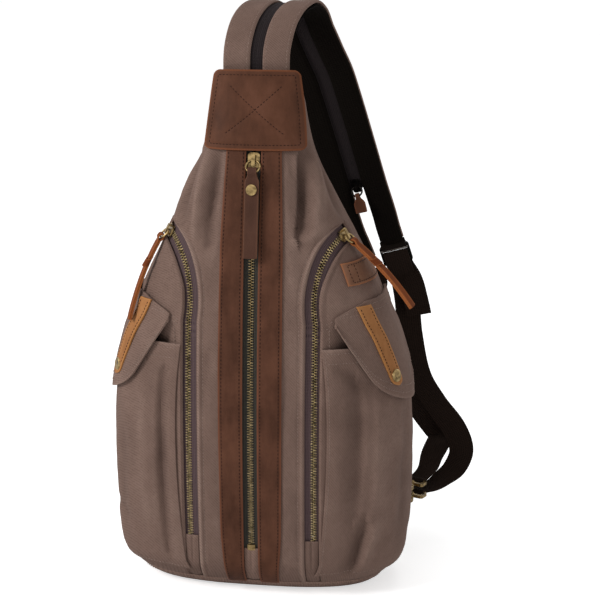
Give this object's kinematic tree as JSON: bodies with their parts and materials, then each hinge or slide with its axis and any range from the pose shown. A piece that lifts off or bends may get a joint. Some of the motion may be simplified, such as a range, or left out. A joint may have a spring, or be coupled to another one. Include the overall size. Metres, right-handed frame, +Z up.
{
  "type": "sling bag",
  "caption": "Teardrop canvas sling bag with leather trim, zipped front, flap pockets and a shoulder strap that unzips into two.",
  "frame": {"origin": "centre of the base on the ground, under the middle of the body's plan", "axes": "+X to the right of someone facing the front, front towards -Y, +Z up"},
  "size_m": [0.3373, 0.2351, 0.542],
  "materials": {
    "canvas": "brushed cotton canvas, taupe",
    "brown_leather": "oiled full-grain leather",
    "patch_leather": "oiled full-grain leather with edge stitching",
    "tan_leather": "pull-up leather, waxed",
    "zip_tape": "woven polyester zip tape",
    "black_webbing": "ribbed cotton webbing",
    "black_mesh": "padded spacer mesh",
    "antique_brass": "antique plated",
    "gunmetal": "satin dark plated steel"
  },
  "bodies": {
    "bag": {"back_pads": "black_mesh", "back_panel": "canvas", "base_tray": "canvas", "centre_zip_chain": "antique_brass", "centre_zip_tapes": "zip_tape", "d_ring_tabs": "black_webbing", "front_panel_left": "canvas", "front_panel_right": "canvas", "hook_loops": "antique_brass", "inner_webbing": "black_webbing", "leather_strip_left": "brown_leather", "leather_strip_right": "brown_leather", "left_zip_chain": "antique_brass", "left_zip_tapes": "zip_tape", "outer_webbing": "black_webbing", "pocket_left": "canvas", "pocket_right": "canvas", "right_zip_chain": "antique_brass", "right_zip_tapes": "zip_tape", "shoulder_panel_left": "canvas", "shoulder_panel_right": "canvas", "side_panel_left": "canvas", "side_panel_right": "canvas", "side_tab": "brown_leather", "snap_sockets": "antique_brass", "strap_end_loops": "black_webbing", "strap_face_inner": "canvas", "strap_face_outer": "canvas", "strap_pad_inner": "black_mesh", "strap_pad_outer": "black_mesh", "strap_zip_chain": "gunmetal", "strap_zip_tapes": "zip_tape", "yoke_patch": "patch_leather"},
    "centre_slider": {"centre_slider": "antique_brass"},
    "centre_pull": {"centre_pull_metal": "antique_brass", "centre_pull_leather": "brown_leather"},
    "strap_slider": {"strap_slider": "gunmetal"},
    "strap_pull": {"strap_pull_ring": "antique_brass", "strap_pull_tab": "tan_leather"},
    "left_slider": {"left_slider": "antique_brass"},
    "left_pull": {"left_pull_ring": "antique_brass", "left_pull_lace": "tan_leather"},
    "left_flap": {"flap_left": "canvas", "flap_strip_left": "tan_leather", "snap_cap_left": "antique_brass"},
    "left_ring": {"left_d_ring": "antique_brass"},
    "right_slider": {"right_slider": "antique_brass"},
    "right_pull": {"right_pull_ring": "antique_brass", "right_pull_lace": "tan_leather"},
    "right_flap": {"flap_right": "canvas", "flap_strip_right": "tan_leather", "snap_cap_right": "antique_brass"},
    "right_ring": {"right_d_ring": "antique_brass"},
    "outer_buckle": {"outer_buckle": "gunmetal"},
    "outer_hook": {"outer_hook": "antique_brass"},
    "outer_gate": {"outer_hook_gate": "antique_brass"},
    "inner_buckle": {"inner_buckle": "gunmetal"},
    "inner_hook": {"inner_hook": "antique_brass"},
    "inner_gate": {"inner_hook_gate": "antique_brass"}
  },
  "joints": [
    {"name": "centre_zip", "type": "hinge", "parent": "bag", "child": "centre_slider", "pos_m": [0, 1.0167, 0.1727], "axis": [1, 0, 0], "range_deg": [0, 18.41], "deforming": ["centre_zip_chain"]},
    {"name": "centre_pull_swing", "type": "hinge", "parent": "centre_slider", "child": "centre_pull", "pos_m": [0, -0.05917, 0.40777], "axis": [-1, 0, 0], "range_deg": [0, 100]},
    {"name": "left_zip", "type": "hinge", "parent": "bag", "child": "left_slider", "pos_m": [-0.06681, -0.02948, 0.3104], "axis": [0.8811, 0.2465, 0.4036], "range_deg": [0, 36], "deforming": ["left_zip_chain", "left_zip_tapes"]},
    {"name": "left_pull_swing", "type": "hinge", "parent": "left_slider", "child": "left_pull", "pos_m": [-0.08036, -0.0423, 0.34074], "axis": [-0.3185, 0.9232, 0.2149], "range_deg": [0, 70]},
    {"name": "right_zip", "type": "hinge", "parent": "bag", "child": "right_slider", "pos_m": [0.06681, -0.02948, 0.3104], "axis": [0.8811, -0.2465, -0.4036], "range_deg": [0, 36], "deforming": ["right_zip_chain", "right_zip_tapes"]},
    {"name": "right_pull_swing", "type": "hinge", "parent": "right_slider", "child": "right_pull", "pos_m": [0.08036, -0.0423, 0.34074], "axis": [-0.3185, -0.9232, -0.2149], "range_deg": [0, 70]},
    {"name": "left_flap_lift", "type": "hinge", "parent": "bag", "child": "left_flap", "pos_m": [-0.11331, -0.03819, 0.28389], "axis": [-0.3255, 0.9418, 0.084], "range_deg": [0, 110], "deforming": ["left_pull_lace"]},
    {"name": "right_flap_lift", "type": "hinge", "parent": "bag", "child": "right_flap", "pos_m": [0.11331, -0.03819, 0.28389], "axis": [-0.3255, -0.9418, -0.084], "range_deg": [0, 110], "deforming": ["right_pull_lace"]},
    {"name": "strap_zip", "type": "slide", "parent": "bag", "child": "strap_slider", "axis": [-0.2567, -0.2657, 0.9292], "range_m": [0, 0.08], "deforming": ["strap_zip_chain"]},
    {"name": "strap_pull_swing", "type": "hinge", "parent": "strap_slider", "child": "strap_pull", "pos_m": [0.07497, 0.10748, 0.35802], "axis": [-0.9665, 0.0706, -0.2469], "range_deg": [0, 90]},
    {"name": "outer_buckle_tilt", "type": "hinge", "parent": "bag", "child": "outer_buckle", "pos_m": [0.11136, 0.12416, 0.29696], "axis": [-0.9569, 0.0801, -0.2791], "range_deg": [-12, 30], "deforming": ["outer_webbing"]},
    {"name": "inner_buckle_tilt", "type": "hinge", "parent": "bag", "child": "inner_buckle", "pos_m": [0.08427, 0.12913, 0.2751], "axis": [-0.935, 0.0978, -0.3408], "range_deg": [-12, 30], "deforming": ["inner_webbing"]},
    {"name": "outer_hook_swivel", "type": "hinge", "parent": "bag", "child": "outer_hook", "pos_m": [0.13829, 0.09079, 0.04999], "axis": [-0.4, -0.9165, 0], "range_deg": [-14, 14]},
    {"name": "outer_gate_open", "type": "hinge", "parent": "outer_hook", "child": "outer_gate", "pos_m": [0.13836, 0.07521, 0.04999], "axis": [0, 0, -1], "range_deg": [0, 9], "stiffness_Nm_per_rad": 0.02, "springref_deg": -11.46},
    {"name": "inner_hook_swivel", "type": "hinge", "parent": "bag", "child": "inner_hook", "pos_m": [0.13829, 0.09079, 0.06249], "axis": [-0.4, -0.9165, 0], "range_deg": [-14, 14]},
    {"name": "inner_gate_open", "type": "hinge", "parent": "inner_hook", "child": "inner_gate", "pos_m": [0.13836, 0.07521, 0.06249], "axis": [0, 0, -1], "range_deg": [0, 9], "stiffness_Nm_per_rad": 0.02, "springref_deg": -11.46},
    {"name": "left_ring_swing", "type": "hinge", "parent": "bag", "child": "left_ring", "pos_m": [-0.12451, 0.05923, 0.05624], "axis": [0, 0, -1], "range_deg": [-35, 35]},
    {"name": "right_ring_swing", "type": "hinge", "parent": "bag", "child": "right_ring", "pos_m": [0.12451, 0.05923, 0.05624], "axis": [0, 0, 1], "range_deg": [-4, 4]}
  ]
}
